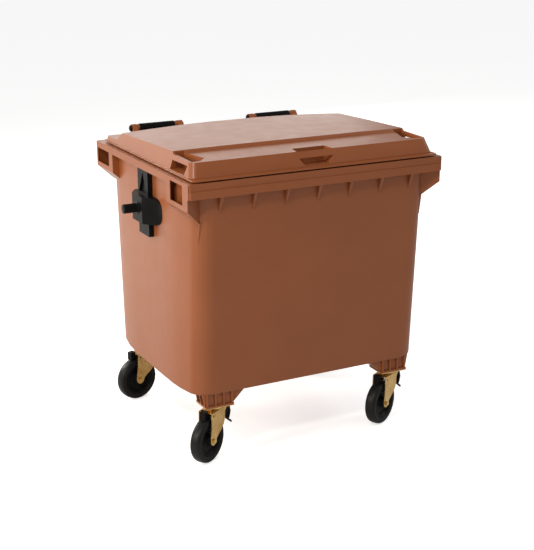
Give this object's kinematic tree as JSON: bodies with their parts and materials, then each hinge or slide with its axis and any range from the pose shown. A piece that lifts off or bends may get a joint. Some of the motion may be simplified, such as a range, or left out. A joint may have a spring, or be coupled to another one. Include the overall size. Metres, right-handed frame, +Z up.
{
  "type": "four-wheeled waste container",
  "caption": "Large four-wheeled plastic waste container with a flat hinged lid, comb lifting rim, side lifting pins and swivel castors with foot brakes.",
  "frame": {"origin": "on the floor below the middle of the rim", "axes": "+Z up, -Y towards the front comb rim, +X towards the right-hand side seen from the front"},
  "size_m": [1.37, 1.046, 1.322],
  "materials": {
    "brown_plastic": "moulded polyethylene, satin, fine grain",
    "black_plastic": "moulded, satin",
    "rubber": "solid rubber, matt",
    "gold_passivated_steel": "pressed steel, yellow zinc passivated",
    "zinc_steel": "zinc plated"
  },
  "bodies": {
    "container": {"container_body": "brown_plastic", "left_hinge_pin": "black_plastic", "right_hinge_pin": "black_plastic", "left_grip_sleeve": "black_plastic", "right_grip_sleeve": "black_plastic", "left_hinge_cap": "black_plastic", "right_hinge_cap": "black_plastic", "left_trunnion_mount": "black_plastic", "right_trunnion_mount": "black_plastic", "left_trunnion_pin": "black_plastic", "right_trunnion_pin": "black_plastic", "left_trunnion_bolt_1": "zinc_steel", "left_trunnion_bolt_2": "zinc_steel", "right_trunnion_bolt_1": "zinc_steel", "right_trunnion_bolt_2": "zinc_steel", "drain_seal": "rubber", "drain_plug": "black_plastic", "front_left_castor_plate": "gold_passivated_steel", "front_left_kingpin": "zinc_steel", "front_right_castor_plate": "gold_passivated_steel", "front_right_kingpin": "zinc_steel", "rear_left_castor_plate": "gold_passivated_steel", "rear_left_kingpin": "zinc_steel", "rear_right_castor_plate": "gold_passivated_steel", "rear_right_kingpin": "zinc_steel"},
    "lid": {"lid": "brown_plastic"},
    "front_left_swivel": {"front_left_fork": "gold_passivated_steel", "front_left_axle_bush": "zinc_steel", "front_left_axle_bolt": "gold_passivated_steel", "front_left_axle_nut": "gold_passivated_steel"},
    "front_left_wheel": {"front_left_tyre": "rubber", "front_left_wheel_centre": "black_plastic"},
    "front_left_pedal": {"front_left_brake_pedal": "black_plastic"},
    "front_left_shoe": {"front_left_brake_shoe": "black_plastic"},
    "front_right_swivel": {"front_right_fork": "gold_passivated_steel", "front_right_axle_bush": "zinc_steel", "front_right_axle_bolt": "gold_passivated_steel", "front_right_axle_nut": "gold_passivated_steel"},
    "front_right_wheel": {"front_right_tyre": "rubber", "front_right_wheel_centre": "black_plastic"},
    "front_right_pedal": {"front_right_brake_pedal": "black_plastic"},
    "front_right_shoe": {"front_right_brake_shoe": "black_plastic"},
    "rear_left_swivel": {"rear_left_fork": "gold_passivated_steel", "rear_left_axle_bush": "zinc_steel", "rear_left_axle_bolt": "gold_passivated_steel", "rear_left_axle_nut": "gold_passivated_steel", "rear_left_brake_shoe": "black_plastic"},
    "rear_left_wheel": {"rear_left_tyre": "rubber", "rear_left_wheel_centre": "black_plastic"},
    "rear_right_swivel": {"rear_right_fork": "gold_passivated_steel", "rear_right_axle_bush": "zinc_steel", "rear_right_axle_bolt": "gold_passivated_steel", "rear_right_axle_nut": "gold_passivated_steel", "rear_right_brake_shoe": "black_plastic"},
    "rear_right_wheel": {"rear_right_tyre": "rubber", "rear_right_wheel_centre": "black_plastic"}
  },
  "joints": [
    {"name": "lid_hinge", "type": "hinge", "parent": "container", "child": "lid", "pos_m": [0, 0.504, 1.277], "axis": [-1, 0, 0], "range_deg": [0, 250]},
    {"name": "front_left_swivel_turn", "type": "hinge", "parent": "container", "child": "front_left_swivel", "pos_m": [-0.434, -0.386, 0.235], "axis": [0, 0, 1], "continuous": true},
    {"name": "front_left_wheel_roll", "type": "hinge", "parent": "front_left_swivel", "child": "front_left_wheel", "pos_m": [-0.48954, -0.41977, 0.1], "axis": [-0.5195, 0.8545, 0], "continuous": true},
    {"name": "front_left_pedal_press", "type": "hinge", "parent": "front_left_swivel", "child": "front_left_pedal", "pos_m": [-0.39555, -0.36262, 0.216], "axis": [-0.5195, 0.8545, 0], "range_deg": [0, 12]},
    {"name": "front_left_shoe_swing", "type": "hinge", "parent": "front_left_swivel", "child": "front_left_shoe", "pos_m": [-0.48698, -0.41821, 0.2125], "axis": [-0.5195, 0.8545, 0], "range_deg": [-6.2, 0.2]},
    {"name": "front_right_swivel_turn", "type": "hinge", "parent": "container", "child": "front_right_swivel", "pos_m": [0.434, -0.386, 0.235], "axis": [0, 0, 1], "continuous": true},
    {"name": "front_right_wheel_roll", "type": "hinge", "parent": "front_right_swivel", "child": "front_right_wheel", "pos_m": [0.3764, -0.41611, 0.1], "axis": [-0.4633, 0.8862, 0], "continuous": true},
    {"name": "front_right_pedal_press", "type": "hinge", "parent": "front_right_swivel", "child": "front_right_pedal", "pos_m": [0.47388, -0.36515, 0.216], "axis": [-0.4633, 0.8862, 0], "range_deg": [0, 12]},
    {"name": "front_right_shoe_swing", "type": "hinge", "parent": "front_right_swivel", "child": "front_right_shoe", "pos_m": [0.37905, -0.41472, 0.2125], "axis": [-0.4633, 0.8862, 0], "range_deg": [-6.2, 0.2]},
    {"name": "rear_left_swivel_turn", "type": "hinge", "parent": "container", "child": "rear_left_swivel", "pos_m": [-0.434, 0.386, 0.235], "axis": [0, 0, 1], "continuous": true},
    {"name": "rear_left_wheel_roll", "type": "hinge", "parent": "rear_left_swivel", "child": "rear_left_wheel", "pos_m": [-0.49715, 0.37061, 0.1], "axis": [-0.2368, 0.9715, 0], "continuous": true},
    {"name": "rear_right_swivel_turn", "type": "hinge", "parent": "container", "child": "rear_right_swivel", "pos_m": [0.434, 0.386, 0.235], "axis": [0, 0, 1], "continuous": true},
    {"name": "rear_right_wheel_roll", "type": "hinge", "parent": "rear_right_swivel", "child": "rear_right_wheel", "pos_m": [0.37292, 0.36377, 0.1], "axis": [-0.342, 0.9397, 0], "continuous": true}
  ],
  "couplings": [
    {"joint": "front_left_shoe_swing", "follows": "front_left_pedal_press", "ratio": -0.5},
    {"joint": "front_right_shoe_swing", "follows": "front_right_pedal_press", "ratio": -0.5}
  ]
}
